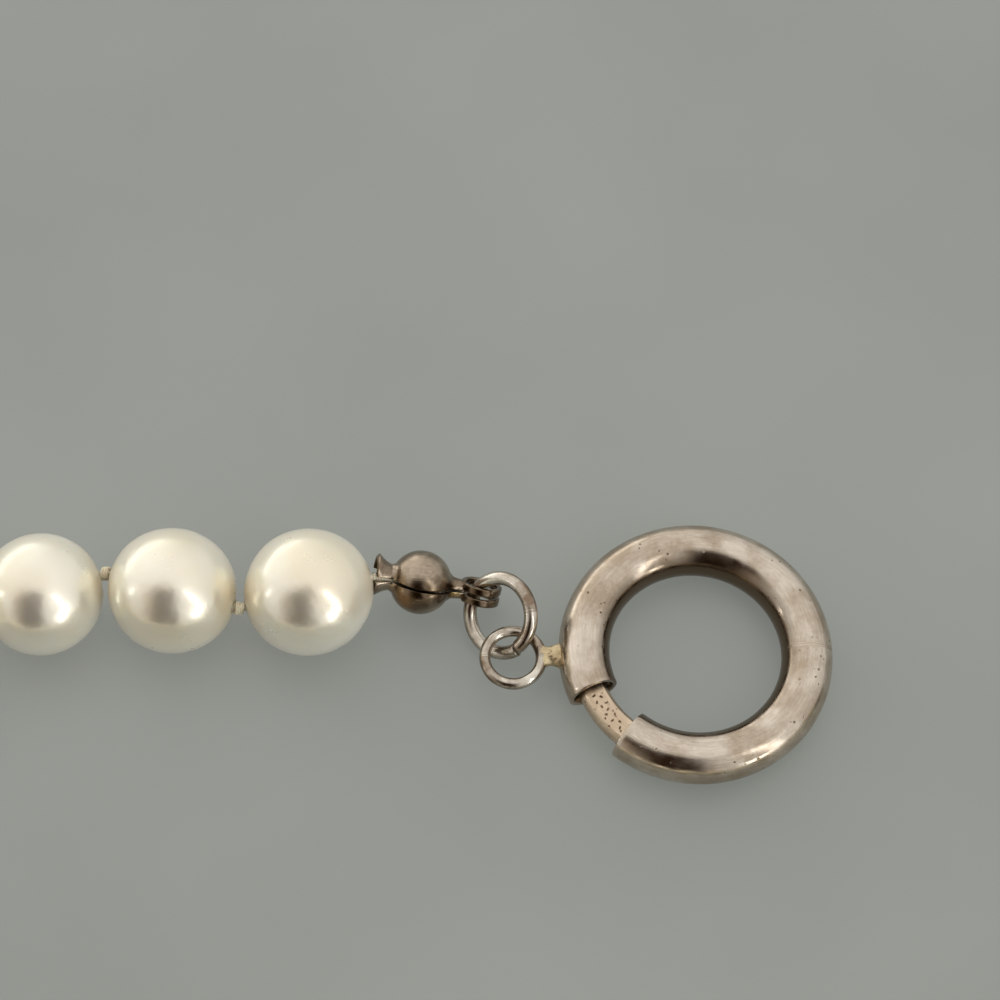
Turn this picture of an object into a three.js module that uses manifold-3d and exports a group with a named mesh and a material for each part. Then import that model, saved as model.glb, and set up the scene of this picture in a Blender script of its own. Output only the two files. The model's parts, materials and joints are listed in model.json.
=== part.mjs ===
// A pearl bracelet with its clasp undone, lying on a table as a long oval loop. Millimetres, +Z up.
// Knotted silk runs through every pearl. Each end of it is held in a silver calotte, a hollow ball
// folded from two cups. A jump ring joins one calotte to the bolt ring, and the other carries the
// catch ring that the bolt ring closes on. The bolt slides back into the bolt ring's tube.
import * as THREE from "three";
import { mergeVertices } from "three/addons/utils/BufferGeometryUtils.js";
import Module from "manifold-3d";

const wasm = await Module();
wasm.setup();

// ---------------------------------------------------------------- driving dimensions
const PEARL_DIAMETERS = [7.05, 7.0, 6.7]; // the three next to the bolt ring, nearest first
const PEARL_COUNT = 20;
const PEARL_USUAL = 6.98; // the rest are this wide, give or take PEARL_SPREAD
const PEARL_SPREAD = 0.12;
const DRILL_RADIUS = 0.45;
const PEARL_SIDES = 14; // facets round the drill hole, and bands from hole to hole
const PEARL_BANDS = 7;

const THREAD_RADIUS = 0.25;
const THREAD_HEIGHT = 3.47;
const KNOT_RADIUS = 0.43;
const KNOT_GAP = 0.64; // from one pearl's end to the next, along the thread
const KNOT_SWING = 0.94; // the pearls lie rolled, so the knots step to either side of the route
const SWINGING = 4; // so many knots swing by all of that, and the rest by SWING_LEFT of it
const SWING_LEFT = 0.25;
const END_KNOT_RADIUS = 0.85;

const RING_RADIUS = 6.1; // the bolt ring, to the middle of its tube
const TUBE_RADIUS = 1.4;
const TUBE_BORE = 1.05;
const MOUTH_LEFT = 203.2; // degrees round the ring, between which the tube is open
const MOUTH_RIGHT = 231.4;
const BOLT_RADIUS = 0.8;
const BOLT_TAIL = 118; // how far back the bolt reaches inside the tube, in degrees
const BOLT_SEATED = 4; // degrees that its tip sits in the right mouth
const TRIGGER_AT = 198.5;
const TRIGGER_PIN = 0.28;
const TRIGGER_HEAD = 0.45;
const TRIGGER_DROP = 0.5; // how far the trigger stands out under the tube
const TRIGGER_GAP = 0.14; // between the tube and the trigger's head
const SLOT_HALF_WIDTH = 0.4;
const SLOT_START = 160; // degrees, where the slot ends inside the tube's run

const EYE_AT = 182.4; // degrees, the eye soldered to the outside of the tube
const EYE_DISTANCE = 9.98; // from the ring's centre to the eye's
const EYE_RADIUS = 1.54;
const EYE_WIRE = 0.29;
const NECK_RADIUS = 0.52;

const JUMP_RADIUS = 2.06; // the jump ring and the catch ring, to the middle of the wire
const JUMP_WIRE = 0.38;

const BALL_RADIUS = 1.7; // the calotte
const BALL_HOLLOW = 1.42;
const LIP_LENGTH = 0.92;
const LIP_INNER = [0.44, 0.72]; // where it leaves the ball, and at its flared end
const LIP_WALL = 0.24;
const LOOP_RADIUS = 1.2;
const LOOP_HOLE = 0.85;
const LOOP_THICK = 0.38;
const LOOP_AT = 3.35; // from the ball's centre to the loops'
const LOOP_APART = 0.2;
const SEAM_WIDTH = 0.16;
const BALL_TO_KNOT = BALL_RADIUS + LIP_LENGTH + 0.32;

// The route of the strand from the bolt ring's end, as seen from above. The bolt ring is at 0, 0.
const ROUTE = [
  [-17.35, 2.82],
  [-25, 2.82],
  [-33, 3],
  [-40.5, 2.2],
  [-47, -1],
  [-51.4, -6.4],
  [-52.6, -13.4],
  [-49.8, -20.4],
  [-43.6, -25.2],
  [-32, -28],
  [-14, -29.2],
  [4, -29],
  [18, -27.4],
  [27.6, -23],
  [32, -15.4],
  [31, -8.4],
  [26, -2.6],
];
const JUMP_CENTRE = new THREE.Vector3(-10.62, 1.92, 2.32);
const JUMP_NORMAL = new THREE.Vector3(-0.56, -0.37, 0.74).normalize();
const CALOTTE_BALL = new THREE.Vector3(-15.02, 3.8, 2.56);
const CALOTTE_AXIS = new THREE.Vector3(0.97, -0.08, -0.24).normalize();
const SEAM_NORMAL = new THREE.Vector3(0.22, 0.76, 0.62); // the two cups close along this
const FAR_LOOP_HEIGHT = 1.24;

const UP = new THREE.Vector3(0, 0, 1);
const radians = THREE.MathUtils.degToRad;

// ---------------------------------------------------------------- finishes
const finish = (color, roughness, metalness) =>
  new THREE.MeshStandardMaterial({ color, roughness, metalness });
const NACRE = () => finish(0xeee6d6, 0.22, 0);
const SILK = () => finish(0xf0e6c8, 0.85, 0);
const SILVER = () => finish(0xb9b0a4, 0.28, 1);
const DARK_SILVER = () => finish(0x8a7d70, 0.35, 1);
const GILT = () => finish(0xc9b38f, 0.4, 1);

// ---------------------------------------------------------------- helpers
// A closed geometry as a manifold-3d solid.
function solid(geometry) {
  const bare = geometry.index ? geometry.toNonIndexed() : geometry.clone();
  bare.deleteAttribute("normal");
  bare.deleteAttribute("uv");
  const merged = mergeVertices(bare, 1e-4);
  return new wasm.Manifold(
    new wasm.Mesh({
      numProp: 3,
      vertProperties: merged.attributes.position.array,
      triVerts: new Uint32Array(merged.index.array),
    }),
  );
}

function geometryOf(made) {
  const { vertProperties, triVerts } = made.getMesh();
  const geometry = new THREE.BufferGeometry()
    .setAttribute("position", new THREE.BufferAttribute(vertProperties, 3))
    .setIndex(new THREE.BufferAttribute(triVerts, 1));
  geometry.computeVertexNormals();
  return geometry;
}

const union = (...geometries) => geometries.map(solid).reduce((all, next) => all.add(next));

function mesh(name, geometry, material) {
  const made = new THREE.Mesh(geometry, material);
  made.name = name;
  return made;
}

// A frame whose Y axis is along, and whose Z axis is as near to up as that allows.
function frameAlong(along, up = UP) {
  const y = along.clone().normalize();
  const x = new THREE.Vector3().crossVectors(y, up).normalize();
  return new THREE.Matrix4().makeBasis(x, y, new THREE.Vector3().crossVectors(x, y));
}

function circle(radius, hole) {
  const shape = new THREE.Shape().absarc(0, 0, radius, 0, 2 * Math.PI);
  if (hole) shape.holes.push(new THREE.Path().absarc(0, 0, hole, 0, 2 * Math.PI, true));
  return shape;
}

// A section (x outward, y up) swept round the bolt ring between two angles, in degrees.
function sweptRound(shape, from, to, steps, curveSegments = 8) {
  const depth = radians(to - from);
  const swept = new THREE.ExtrudeGeometry(shape, { depth, steps, curveSegments, bevelEnabled: false });
  const position = swept.getAttribute("position");
  for (let i = 0; i < position.count; i++) {
    const reach = RING_RADIUS + position.getX(i);
    const angle = radians(to) - position.getZ(i);
    position.setXYZ(i, reach * Math.cos(angle), reach * Math.sin(angle), position.getY(i));
  }
  return swept;
}

// ---------------------------------------------------------------- pearls
// A drilled pearl, its hole along Y. Flat facets face up and down, and touch the true sphere.
function pearlGeometry(radius) {
  const first = Math.asin(DRILL_RADIUS / radius);
  const step = (Math.PI - 2 * first) / PEARL_BANDS;
  const stretch = 1 / (Math.cos(step / 2) * Math.cos(Math.PI / PEARL_SIDES));
  const profile = [];
  for (let i = PEARL_BANDS; i >= 0; i--) {
    const angle = first + i * step;
    const rim = i === 0 || i === PEARL_BANDS;
    const reach = rim ? DRILL_RADIUS : radius * Math.sin(angle) * stretch;
    profile.push(new THREE.Vector2(reach, radius * Math.cos(angle)));
  }
  profile.push(profile[0].clone());
  return new THREE.LatheGeometry(profile, PEARL_SIDES, Math.PI / PEARL_SIDES);
}

function pearlDiameter(i) {
  return PEARL_DIAMETERS[i] ?? PEARL_USUAL + PEARL_SPREAD * Math.sin(2.4 * i);
}

// The knots before and after each pearl, walked along the route a pearl and a gap at a time.
function knotPoints() {
  const route = new THREE.CatmullRomCurve3(
    ROUTE.map(([x, y]) => new THREE.Vector3(x, y, THREAD_HEIGHT)),
    false,
    "centripetal",
  );
  const samples = 4000;
  const line = route.getSpacedPoints(samples);
  const swung = (at, i) => {
    const along = line[Math.min(at + 1, samples)].clone().sub(line[Math.max(at - 1, 0)]).normalize();
    const swing = KNOT_SWING * (i % 2 ? -1 : 1) * (i < SWINGING ? 1 : SWING_LEFT);
    return line[at].clone().addScaledVector(new THREE.Vector3(along.y, -along.x, 0), swing);
  };
  const knots = [swung(0, 0)];
  let at = 0;
  for (let i = 0; i < PEARL_COUNT; i++) {
    const reach = pearlDiameter(i) + KNOT_GAP;
    while (at < samples && swung(at, i + 1).distanceTo(knots[i]) < reach) at++;
    if (at === samples) throw new Error("the route is too short for pearl " + (i + 1));
    knots.push(swung(at, i + 1));
  }
  return knots;
}

function pearls(knots) {
  return knots.slice(1).map((next, i) => {
    const radius = pearlDiameter(i) / 2;
    const made = mesh("pearl_" + String(i + 1).padStart(2, "0"), pearlGeometry(radius), NACRE());
    made.position.addVectors(knots[i], next).multiplyScalar(0.5);
    made.position.z = radius;
    made.quaternion.setFromRotationMatrix(frameAlong(next.clone().sub(knots[i])));
    return made;
  });
}

// ---------------------------------------------------------------- silk
function cord(from, to) {
  const along = to.clone().sub(from);
  return new THREE.CylinderGeometry(THREAD_RADIUS, THREAD_RADIUS, along.length(), 6)
    .applyMatrix4(frameAlong(along))
    .translate(...from.clone().add(to).multiplyScalar(0.5).toArray());
}

function knot(at, along, radius, length) {
  return new THREE.SphereGeometry(1, 8, 6)
    .scale(radius, length / 2, radius)
    .applyMatrix4(frameAlong(along))
    .translate(...at.toArray());
}

// One thread from calotte to calotte, with a knot between each pearl and the next.
function silkThread(knots, firstBall, lastBall) {
  const line = [firstBall, ...knots, lastBall];
  const pieces = line.slice(1).map((to, i) => cord(line[i], to));
  knots.slice(1, -1).forEach((at, i) => {
    const along = knots[i + 2].clone().sub(knots[i]);
    pieces.push(knot(at, along, KNOT_RADIUS, KNOT_GAP - 0.08));
  });
  const across = new THREE.Vector3(1, 0, 0);
  for (const end of [firstBall, lastBall]) {
    pieces.push(knot(end, across, END_KNOT_RADIUS, 2 * END_KNOT_RADIUS));
  }
  return mesh("silk_thread", geometryOf(union(...pieces)), SILK());
}

// ---------------------------------------------------------------- calotte
// Its ball is at the origin, its lip towards -X over the thread, and its loops towards +X.
// The cups meet on the plane of X and Z, and their seam is open towards +Z.
function calotteGeometry() {
  const [narrow, wide] = LIP_INNER;
  const trumpet = (from, to, thick) =>
    new THREE.CylinderGeometry(narrow + thick, wide + thick, to - from, 12)
      .rotateZ(-Math.PI / 2)
      .translate(-(from + to) / 2, 0, 0);
  const loop = (side) =>
    new THREE.ExtrudeGeometry(circle(LOOP_RADIUS, LOOP_HOLE), {
      depth: LOOP_THICK,
      curveSegments: 8,
      bevelEnabled: false,
    })
      .translate(0, 0, side > 0 ? LOOP_APART / 2 : -LOOP_APART / 2 - LOOP_THICK)
      .rotateX(Math.PI / 2)
      .translate(LOOP_AT, 0, 0);
  const neckFrom = BALL_HOLLOW + 0.08;
  const neckTo = LOOP_AT - LOOP_HOLE - 0.1;
  const neck = new THREE.CylinderGeometry(0.5, 0.62, neckTo - neckFrom, 12)
    .rotateZ(-Math.PI / 2)
    .translate((neckFrom + neckTo) / 2, 0, 0);
  const seamFrom = -BALL_RADIUS - 0.3;
  const seamTo = BALL_RADIUS + 0.25;
  const seam = new THREE.BoxGeometry(seamTo - seamFrom, SEAM_WIDTH, BALL_RADIUS)
    .translate((seamFrom + seamTo) / 2, 0, BALL_RADIUS / 2 + 0.3);
  const outside = union(
    new THREE.SphereGeometry(BALL_RADIUS, 16, 12),
    trumpet(BALL_HOLLOW, BALL_RADIUS + LIP_LENGTH, LIP_WALL),
    neck,
    loop(1),
    loop(-1),
  );
  const hollow = union(
    new THREE.SphereGeometry(BALL_HOLLOW, 12, 8),
    trumpet(BALL_HOLLOW - 0.2, BALL_RADIUS + LIP_LENGTH + 0.05, 0),
    seam,
  );
  return geometryOf(outside.subtract(hollow));
}

function calotte(name, ball, axis, seamNormal) {
  const y = seamNormal.clone().addScaledVector(axis, -seamNormal.dot(axis)).normalize();
  const turn = new THREE.Matrix4().makeBasis(axis, y, new THREE.Vector3().crossVectors(axis, y));
  const made = mesh(name, calotteGeometry(), DARK_SILVER());
  made.position.copy(ball);
  made.quaternion.setFromRotationMatrix(turn);
  return made;
}

// ---------------------------------------------------------------- rings of wire
// The jump ring was pulled open and pushed back: its ends miss each other by RISE.
const RISE = 0.3;
class OpenRing extends THREE.Curve {
  getPoint(t, target = new THREE.Vector3()) {
    const angle = radians(THREE.MathUtils.lerp(-62, 290, t));
    return target.set(JUMP_RADIUS * Math.cos(angle), JUMP_RADIUS * Math.sin(angle), (0.5 - t) * RISE);
  }
}

function ringFacing(made, centre, normal) {
  made.position.copy(centre);
  made.quaternion.setFromUnitVectors(UP, normal);
  return made;
}

function jumpRing() {
  const wire = new THREE.ExtrudeGeometry(circle(JUMP_WIRE), {
    steps: 36,
    curveSegments: 4,
    extrudePath: new OpenRing(),
  });
  return ringFacing(mesh("jump_ring", wire, SILVER()), JUMP_CENTRE, JUMP_NORMAL);
}

function catchRing(centre, normal) {
  const wire = new THREE.TorusGeometry(JUMP_RADIUS, JUMP_WIRE, 8, 32);
  return ringFacing(mesh("catch_ring", wire, SILVER()), centre, normal);
}

// ---------------------------------------------------------------- bolt ring
// The open tube, with the slot that the trigger runs in, and the eye soldered to its outside.
function ringTube() {
  const tube = solid(sweptRound(circle(TUBE_RADIUS, TUBE_BORE), MOUTH_RIGHT, MOUTH_LEFT + 360, 40));
  const opening = new THREE.Shape([
    new THREE.Vector2(-SLOT_HALF_WIDTH, -TUBE_RADIUS - 0.2),
    new THREE.Vector2(SLOT_HALF_WIDTH, -TUBE_RADIUS - 0.2),
    new THREE.Vector2(SLOT_HALF_WIDTH, -BOLT_RADIUS),
    new THREE.Vector2(-SLOT_HALF_WIDTH, -BOLT_RADIUS),
  ]);
  const slot = solid(sweptRound(opening, SLOT_START, MOUTH_LEFT + 2, 10));
  const neckFrom = RING_RADIUS + TUBE_RADIUS - 0.15;
  const neckTo = EYE_DISTANCE - EYE_RADIUS;
  const neck = new THREE.CylinderGeometry(NECK_RADIUS, NECK_RADIUS * 0.8, neckTo - neckFrom, 12)
    .rotateZ(Math.PI / 2)
    .translate((neckFrom + neckTo) / 2, 0, 0)
    .rotateZ(radians(EYE_AT));
  const eye = new THREE.TorusGeometry(EYE_RADIUS, EYE_WIRE, 8, 24)
    .translate(EYE_DISTANCE, 0, 0)
    .rotateZ(radians(EYE_AT));
  return mesh("bolt_ring", geometryOf(tube.subtract(slot).add(union(neck, eye))), SILVER());
}

// The bolt is bent to the tube's curve. Its trigger comes out under the tube.
function bolt() {
  const rod = sweptRound(circle(BOLT_RADIUS), BOLT_TAIL, MOUTH_RIGHT + BOLT_SEATED, 22, 6);
  const pinLength = TUBE_RADIUS + TRIGGER_GAP + 0.1;
  const headHeight = TRIGGER_DROP - TRIGGER_GAP;
  const pin = new THREE.CylinderGeometry(TRIGGER_PIN, TRIGGER_PIN, pinLength, 8)
    .rotateX(Math.PI / 2)
    .translate(RING_RADIUS, 0, -pinLength / 2);
  const head = new THREE.CylinderGeometry(TRIGGER_HEAD, TRIGGER_HEAD, headHeight, 12)
    .rotateX(Math.PI / 2)
    .translate(RING_RADIUS, 0, -TUBE_RADIUS - TRIGGER_GAP - headHeight / 2);
  for (const piece of [pin, head]) piece.rotateZ(radians(TRIGGER_AT));
  return mesh("bolt", geometryOf(union(rod, pin, head)), GILT());
}

// The bolt ring lies on its trigger, so that side is lifted a little.
function boltRing() {
  const made = new THREE.Group();
  made.add(ringTube(), bolt());
  const lift = Math.asin(TRIGGER_DROP / (2 * RING_RADIUS));
  const level = new THREE.Vector3(Math.cos(radians(TRIGGER_AT + 90)), Math.sin(radians(TRIGGER_AT + 90)), 0);
  made.quaternion.setFromAxisAngle(level, -lift);
  made.position.z = TUBE_RADIUS + (RING_RADIUS + TRIGGER_HEAD) * Math.sin(lift);
  return made;
}

// ---------------------------------------------------------------- assembly
// The far calotte leaves the last pearl towards the bolt ring, with its loops upright.
function farEnd(lastKnot) {
  const toClasp = new THREE.Vector3(18.2, -1.2, 0).sub(lastKnot).setZ(0).normalize();
  const drop = (FAR_LOOP_HEIGHT - THREAD_HEIGHT) / (BALL_TO_KNOT + LOOP_AT);
  const axis = toClasp.clone().multiplyScalar(Math.sqrt(1 - drop * drop)).setZ(drop);
  const ball = lastKnot.clone().addScaledVector(axis, BALL_TO_KNOT);
  const loops = ball.clone().addScaledVector(axis, LOOP_AT);
  const sideways = new THREE.Vector3().crossVectors(UP, axis).normalize();
  const wireHeight = loops.z - LOOP_HOLE + JUMP_WIRE + 0.12;
  const rise = Math.asin((wireHeight - JUMP_WIRE) / (2 * JUMP_RADIUS));
  const ringNormal = toClasp.clone().multiplyScalar(Math.sin(rise)).setZ(Math.cos(rise));
  const ringCentre = loops.clone().addScaledVector(toClasp, JUMP_RADIUS * Math.cos(rise));
  ringCentre.z = JUMP_WIRE + JUMP_RADIUS * Math.sin(rise);
  return {
    ball,
    pieces: [calotte("calotte_far_end", ball, axis, sideways), catchRing(ringCentre, ringNormal)],
  };
}

const knots = knotPoints();
const far = farEnd(knots[PEARL_COUNT]);
const bracelet = new THREE.Group();
bracelet.add(
  ...pearls(knots),
  silkThread(knots, CALOTTE_BALL, far.ball),
  calotte("calotte_clasp_end", CALOTTE_BALL, CALOTTE_AXIS, SEAM_NORMAL),
  jumpRing(),
  boltRing(),
  ...far.pieces,
);

// The origin is on the table, under the middle of the whole loop.
const extent = new THREE.Box3().setFromObject(bracelet, true);
const middle = extent.getCenter(new THREE.Vector3());
bracelet.position.set(-middle.x, -middle.y, -extent.min.z);

export default bracelet;
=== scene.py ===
# %% [markdown]
# # A knotted pearl bracelet
# The bracelet lies open on a table: twenty pearls on knotted silk, a folded silver calotte at each
# end, and a large bolt ring whose bolt slides back into its own tube. The frame holds the true
# sizes and places of all of it as plain solids. This lesson gives each one its real surface. No
# finished piece may grow out of it.

# %% Load the frame
import json
import math

import bpy
from mathutils import Matrix, Vector


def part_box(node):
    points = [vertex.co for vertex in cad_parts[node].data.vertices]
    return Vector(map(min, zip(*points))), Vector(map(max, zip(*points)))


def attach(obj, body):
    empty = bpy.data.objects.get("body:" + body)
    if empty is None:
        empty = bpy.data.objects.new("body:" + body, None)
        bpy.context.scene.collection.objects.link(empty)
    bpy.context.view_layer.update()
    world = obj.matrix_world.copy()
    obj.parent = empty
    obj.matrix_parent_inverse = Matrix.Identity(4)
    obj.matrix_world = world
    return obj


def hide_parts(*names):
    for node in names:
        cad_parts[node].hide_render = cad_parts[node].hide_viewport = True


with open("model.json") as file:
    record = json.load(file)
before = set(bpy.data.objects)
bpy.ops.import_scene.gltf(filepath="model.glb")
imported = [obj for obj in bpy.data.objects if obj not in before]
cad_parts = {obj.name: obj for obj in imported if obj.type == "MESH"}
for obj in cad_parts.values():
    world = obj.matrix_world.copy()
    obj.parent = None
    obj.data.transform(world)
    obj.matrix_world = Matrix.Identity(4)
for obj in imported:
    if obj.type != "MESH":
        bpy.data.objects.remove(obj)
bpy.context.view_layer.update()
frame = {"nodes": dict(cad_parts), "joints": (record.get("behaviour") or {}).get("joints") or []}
MM = 0.001

# %% [markdown]
# ## Where things are
# The joint of the bolt stands at the middle of the bolt ring and points along its axis, so it
# places the whole clasp. The ring lies on its trigger and leans a little, and its own X and Y are
# found by turning the upright axis to the joint's axis, the shortest way.

# %% The bolt ring's own place
bolt_joint = frame["joints"][0]
ring_middle = Vector(bolt_joint["pos_m"])
ring_axis = Vector(bolt_joint["axis"]).normalized()
upright = Vector((0, 0, 1))


def facing(direction, middle):
    """The placement that takes the origin to middle and the Z axis to direction."""
    turn = upright.rotation_difference(direction).to_matrix().to_4x4()
    return Matrix.Translation(middle) @ turn


ring_place = facing(ring_axis, ring_middle)
print("bolt ring at", [round(v / MM, 2) for v in ring_middle], "mm")

# %% [markdown]
# ## Camera
# The camera looks down steeply from the front, as a person does at a table. A long lens from close
# above keeps the round things round. It aims at the table beside the bolt ring, so the strand comes
# in from the left.

# %% Camera
AIM = ring_middle + Vector((-10.67, 9.88, 0)) * MM
AIM.z = 0
HEIGHT_ANGLE = math.radians(66)
DISTANCE = 171.8 * MM
LENS = 109.66

to_camera = Vector((0, -math.cos(HEIGHT_ANGLE), math.sin(HEIGHT_ANGLE)))
bpy.ops.object.camera_add(location=AIM + to_camera * DISTANCE)
camera = bpy.context.object
camera.name = "camera"
camera.rotation_euler = (-to_camera).to_track_quat("-Z", "Y").to_euler()
camera.data.lens = LENS
camera.data.clip_start = 0.01
bpy.context.scene.camera = camera
print("camera", round(DISTANCE / MM), "mm away")

# %% [markdown]
# ## Light
# Pearls and silver show little colour of their own: they show the room. A pale room all round gives
# the cream its glow, and a dark zone in front, where a person would stand, gives each pearl its soft
# grey heart and the silver its dark bands. The room is painted on the world, by direction. Windows
# are area lights, since they need clean edges. The dark shape is tall and soft-edged, with a wider
# and paler brown one round it, so that the hearts fade out to the left.

# %% The room, painted on the world
PALE_SIDE = Vector((-0.60, 0.74, 0.16)).normalized()
PERSON_AT = -0.15  # X of the direction in which the dark shape stands

bpy.context.scene.view_settings.view_transform = "Standard"
world = bpy.data.worlds.new("pale_room")
bpy.context.scene.world = world
world.use_nodes = True
room = world.node_tree


def add_node(tree, kind, inputs=None, **settings):
    """A new node of that kind. inputs are numbers, colours, or the sockets they are wired to."""
    node = tree.nodes.new("ShaderNode" + kind)
    for name, value in settings.items():
        setattr(node, name, value)
    for name, value in (inputs or {}).items():
        if isinstance(value, bpy.types.NodeSocket):
            tree.links.new(value, node.inputs[name])
        else:
            node.inputs[name].default_value = value
    return node


def fade(value, start, end):
    limits = {"Value": value, "From Min": start, "From Max": end}
    return add_node(room, "MapRange", limits, interpolation_type="SMOOTHSTEP").outputs["Result"]


def towards(direction, start, end):
    """1 where the room is seen within end of a direction, 0 past start, both as cosines."""
    near = add_node(room, "VectorMath", {0: seen, 1: direction}, operation="DOT_PRODUCT")
    return fade(near.outputs["Value"], start, end)


def standing(left_right, half_width, edge):
    """1 on an upright shape in front, 0 beside it."""
    sides = add_node(room, "SeparateXYZ", {"Vector": seen})
    off = add_node(room, "Math", {0: sides.outputs["X"], 1: left_right}, operation="SUBTRACT")
    off = add_node(room, "Math", {0: off.outputs["Value"]}, operation="ABSOLUTE")
    across = fade(off.outputs["Value"], half_width + edge, half_width)
    ahead = fade(sides.outputs["Y"], -0.10, -0.48)
    return add_node(room, "Math", {0: across, 1: ahead}, operation="MULTIPLY").outputs["Value"]


def paint_room(below, colour, mask):
    mixed = {"Factor": mask, 6: below, 7: colour}
    return add_node(room, "Mix", mixed, data_type="RGBA").outputs[2]


seen = add_node(room, "TexCoord").outputs["Generated"]
walls = paint_room((0.74, 0.73, 0.71, 1), (0.98, 0.96, 0.92, 1), towards(upright, 0.1, 0.9))
walls = paint_room(walls, (1.15, 1.13, 1.08, 1), towards(PALE_SIDE, 0.5, 0.95))
walls = paint_room(walls, (0.40, 0.34, 0.27, 1), standing(-0.36, 0.20, 0.30))
walls = paint_room(walls, (0.030, 0.014, 0.006, 1), standing(PERSON_AT, 0.20, 0.30))
room.links.new(walls, room.nodes["Background"].inputs["Color"])
print("room painted")

# %% [markdown]
# Two narrow windows and a small bright one give the crisp streaks and the star on each pearl. The
# long low one behind lights the far edges of the ring. Narrow lights close by stay sharp in a
# mirror, and weak ones leave no hard shadow.

# %% Windows
# name: direction it stands in, width and height in mm, watts, colour
WINDOWS = {
    "window_right": ((0.66, -0.47, 0.51), 90, 680, 0.62, (0.95, 0.98, 1.0)),
    "window_low": ((0.66, -0.74, 0.17), 160, 120, 0.45, (0.92, 0.97, 1.0)),
    "window_left": ((-0.95, -0.13, 0.29), 40, 170, 0.11, (1.0, 1.0, 1.0)),
    "window_back": ((-0.64, 0.74, 0.14), 900, 170, 0.42, (1.0, 0.99, 0.96)),
}
WINDOW_DISTANCE = 0.75

for name, (direction, width, height, watts, colour) in WINDOWS.items():
    out = Vector(direction).normalized()
    bpy.ops.object.light_add(type="AREA", location=AIM + out * WINDOW_DISTANCE)
    window = bpy.context.object
    window.name = name
    window.rotation_euler = out.to_track_quat("Z", "Y").to_euler()
    window.data.shape = "RECTANGLE"
    window.data.size = width * MM
    window.data.size_y = height * MM
    window.data.energy = watts
    window.data.color = colour
print(len(WINDOWS), "windows")

# %% [markdown]
# ## Modelling by hand, in code
# An operator works on whatever is selected, and the frame's nodes come selected. So each piece
# starts from a clear selection. Inside edit mode a small test picks the vertices by their place,
# as a hand would pick them with a box. A finished piece has its place in its mesh, so its object is
# put down and its transform applied.


# %% Helpers for selecting and placing
def start_clear():
    if bpy.context.object and bpy.context.object.mode != "OBJECT":
        bpy.ops.object.mode_set(mode="OBJECT")
    bpy.ops.object.select_all(action="DESELECT")


def only(*objects):
    start_clear()
    for each in objects:
        each.select_set(True)
    bpy.context.view_layer.objects.active = objects[0]


def pick(test, kind="VERT"):
    """Enters edit mode with only the vertices (or faces) that pass the test selected."""
    bpy.ops.object.mode_set(mode="EDIT")
    bpy.ops.mesh.select_mode(type=kind)
    bpy.ops.mesh.select_all(action="DESELECT")
    bpy.ops.object.mode_set(mode="OBJECT")
    mesh = bpy.context.object.data
    chosen = mesh.vertices if kind == "VERT" else mesh.polygons
    count = 0
    for each in chosen:
        each.select = bool(test(each.co if kind == "VERT" else each))
        count += each.select
    bpy.ops.object.mode_set(mode="EDIT")
    return count


def finish_edit():
    bpy.ops.object.mode_set(mode="OBJECT")


def apply_modifier(piece, kind, **settings):
    only(piece)
    modifier = piece.modifiers.new(kind.lower(), kind)
    for name, value in settings.items():
        setattr(modifier, name, value)
    bpy.ops.object.modifier_apply(modifier=modifier.name)


def put_down(piece, place=Matrix.Identity(4)):
    """Moves a piece from where it was modelled to its place, and bakes that into its mesh."""
    piece.matrix_world = place @ piece.matrix_world
    only(piece)
    bpy.ops.object.transform_apply(location=True, rotation=True, scale=True)


def copy_of(piece, name):
    twin = piece.copy()
    twin.data = piece.data.copy()
    twin.name = name
    bpy.context.collection.objects.link(twin)
    return twin


def joined(name, *pieces):
    only(*pieces)
    bpy.ops.object.join()
    pieces[0].name = name
    return pieces[0]


def smooth(piece, angle=40):
    only(piece)
    bpy.ops.object.shade_smooth_by_angle(angle=math.radians(angle))


def dress(piece, finish, body, slot, *nodes):
    """Gives a piece its finish, hangs it on the body it rides on, and hides the frame's nodes it stands for.
    """
    piece.data.materials.clear()
    piece.data.materials.append(finish)
    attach(piece, body)
    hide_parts(*nodes)


start_clear()
print("helpers ready")

# %% [markdown]
# ## Table
# The table is a plain grey sheet with a faint gloss, enough to hold a soft reflection of each bead.
# It glows a little of itself, which is painted light: the glow pales the shadows cast on it.

# %% Table
bpy.ops.mesh.primitive_plane_add(size=4, location=(0, 0, -0.00002))
table = bpy.context.object
table.name = "table"
table_grey = bpy.data.materials.new("table_grey")
table_grey.use_nodes = True
tree = table_grey.node_tree
place = add_node(tree, "TexCoord").outputs["Object"]
clouds = add_node(tree, "TexNoise", {"Vector": place, "Scale": 35, "Detail": 3}).outputs["Fac"]
greys = add_node(tree, "ValToRGB", {"Fac": clouds})
greys.color_ramp.elements[0].position = 0.3
greys.color_ramp.elements[0].color = (0.142, 0.150, 0.139, 1)
greys.color_ramp.elements[1].position = 0.7
greys.color_ramp.elements[1].color = (0.160, 0.168, 0.157, 1)
shader = tree.nodes["Principled BSDF"]
tree.links.new(greys.outputs["Color"], shader.inputs["Base Color"])
shader.inputs["Roughness"].default_value = 0.42
shader.inputs["Specular IOR Level"].default_value = 0.45
# painted light: the table glows in its own greys, which pales the shadows on it
tree.links.new(greys.outputs["Color"], shader.inputs["Emission Color"])
shader.inputs["Emission Strength"].default_value = 1.0
table.data.materials.append(table_grey)
print("table laid")

# %% [markdown]
# ## Nacre
# A pearl is thin sheets of nacre round a bead. Light goes in a little way and comes back cream, and
# the sheets mirror the room softly, as no plain gloss paint does. So the shader is part metal,
# which lends the strong soft mirror, with light scattering under it, a clear sharp coat over it,
# and a thin film for the faint pink and green. The mirror is strongest where the skin faces the
# eye. At the edges the glow from inside takes over, helped by a little sheen, so they stay pale.
# The cream is yellower at the drill holes, where the skin is worn, so the mesh carries a number
# that says how near the hole each point is.

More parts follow.
